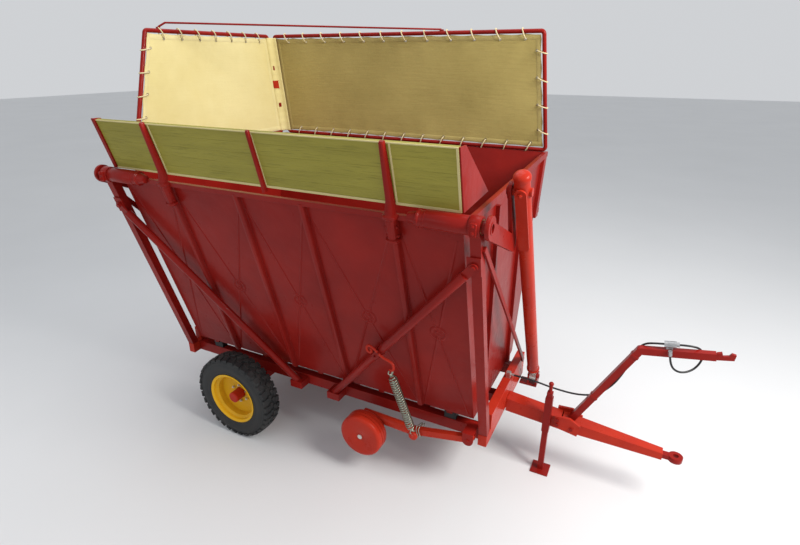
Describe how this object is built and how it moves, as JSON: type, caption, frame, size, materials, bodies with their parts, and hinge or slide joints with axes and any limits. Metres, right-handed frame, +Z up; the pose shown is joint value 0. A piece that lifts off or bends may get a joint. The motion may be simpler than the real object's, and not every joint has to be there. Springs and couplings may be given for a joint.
{
  "type": "side-tipping grain cart",
  "caption": "High-lift side-tipping grain cart with tipping posts, two rams, canvas extensions, single axle and drawbar.",
  "frame": {"origin": "on the ground, under the middle of the overall box", "axes": "+X towards the tow eye, +Y away from the tipping side, +Z up"},
  "size_m": [5.849, 2.8026, 4.2814],
  "materials": {
    "red_paint": "gloss",
    "olive_board": "satin",
    "canvas": "matte",
    "yellow_paint": "gloss",
    "tyre_rubber": "matte",
    "black_rubber": "satin",
    "bright_steel": "satin",
    "zinc_spring": "satin",
    "bronze": "satin",
    "grey_fitting": "satin"
  },
  "bodies": {
    "chassis": {"tip_posts": "red_paint", "pivot_bushes": "bronze", "struts": "red_paint", "post_braces": "red_paint", "end_beams": "red_paint", "cross_members": "red_paint", "chassis_rails": "red_paint", "rest_pads": "black_rubber", "axle_beam": "red_paint", "ram_feet": "red_paint", "drawbar_beam": "red_paint", "drawbar_nose": "red_paint", "tow_eye": "red_paint", "neck_bar": "red_paint", "frame_bolts": "bright_steel", "stand_sleeve": "red_paint", "arm_bracket": "red_paint", "spring_hook": "red_paint", "arm_spring": "zinc_spring", "hose_fitting": "bright_steel", "supply_hose": "black_rubber", "hose_coupler": "grey_fitting", "hose_tail": "black_rubber"},
    "box": {"box_floor": "red_paint", "near_wall": "red_paint", "far_wall": "red_paint", "near_ribs": "red_paint", "far_ribs": "red_paint", "front_wall": "red_paint", "rear_wall": "red_paint", "rim_frame": "red_paint", "flap_boards": "olive_board", "flap_arms": "red_paint", "flap_end_plates": "red_paint", "far_canvas_frame": "red_paint", "far_canvas": "canvas", "rear_canvas_frame": "red_paint", "rear_canvas": "canvas", "canvas_ties": "red_paint", "pivot_shafts": "red_paint", "pivot_carriers": "red_paint", "tip_levers": "red_paint"},
    "wheel_near": {"tyre_near": "tyre_rubber", "rim_near": "yellow_paint", "bearings_near": "bright_steel", "hub_near": "red_paint", "wheel_nuts_near": "bright_steel"},
    "wheel_far": {"tyre_far": "tyre_rubber", "rim_far": "yellow_paint", "bearings_far": "bright_steel", "hub_far": "red_paint", "wheel_nuts_far": "bright_steel"},
    "ram_front_rod": {"ram_rod_front": "bright_steel"},
    "ram_front_barrel": {"ram_barrel_front": "red_paint"},
    "ram_rear_rod": {"ram_rod_rear": "bright_steel"},
    "ram_rear_barrel": {"ram_barrel_rear": "red_paint"},
    "arm": {"roller_arm": "red_paint", "arm_pins": "bright_steel"},
    "roller": {"side_roller": "red_paint"},
    "stand": {"stand_leg": "red_paint"}
  },
  "joints": [
    {"name": "box_tip", "type": "hinge", "parent": "chassis", "child": "box", "pos_m": [-0.8085, -1.24066, 2.91], "axis": [1, 0, 0], "range_deg": [0, 95]},
    {"name": "ram_front_swing", "type": "hinge", "parent": "chassis", "child": "ram_front_rod", "pos_m": [1.2335, 0.6184, 0.656], "axis": [1, 0, 0], "range_deg": [-0.05, 7.29]},
    {"name": "ram_front_slide", "type": "slide", "parent": "ram_front_rod", "child": "ram_front_barrel", "axis": [0, -0.4975, 0.8675], "range_m": [0, 0.62947]},
    {"name": "ram_rear_swing", "type": "hinge", "parent": "chassis", "child": "ram_rear_rod", "pos_m": [-2.8505, 0.6184, 0.656], "axis": [1, 0, 0], "range_deg": [-0.05, 7.29]},
    {"name": "ram_rear_slide", "type": "slide", "parent": "ram_rear_rod", "child": "ram_rear_barrel", "axis": [0, -0.4975, 0.8675], "range_m": [0, 0.62947]},
    {"name": "wheel_near_spin", "type": "hinge", "parent": "chassis", "child": "wheel_near", "pos_m": [-1.6715, -0.9646, 0.49], "axis": [0, 1, 0], "continuous": true},
    {"name": "wheel_far_spin", "type": "hinge", "parent": "chassis", "child": "wheel_far", "pos_m": [-1.6715, 1.0814, 0.49], "axis": [0, 1, 0], "continuous": true},
    {"name": "roller_arm_swing", "type": "hinge", "parent": "chassis", "child": "arm", "pos_m": [0.9465, -0.7416, 0.7], "axis": [0, -1, 0], "range_deg": [0, 13.5], "deforming": ["arm_spring"]},
    {"name": "side_roller_spin", "type": "hinge", "parent": "arm", "child": "roller", "pos_m": [-0.1035, -0.8886, 0.483], "axis": [0, 1, 0], "continuous": true},
    {"name": "stand_lift", "type": "slide", "parent": "chassis", "child": "stand", "axis": [0, 0, 1], "range_m": [0, 0.35]}
  ],
  "couplings": [
    {"joint": "ram_front_swing", "follows": "box_tip", "ratio": 0.07663},
    {"joint": "ram_front_slide", "follows": "box_tip", "m_per_rad": 0.37926},
    {"joint": "ram_rear_swing", "follows": "box_tip", "ratio": 0.07663},
    {"joint": "ram_rear_slide", "follows": "box_tip", "m_per_rad": 0.37926}
  ]
}
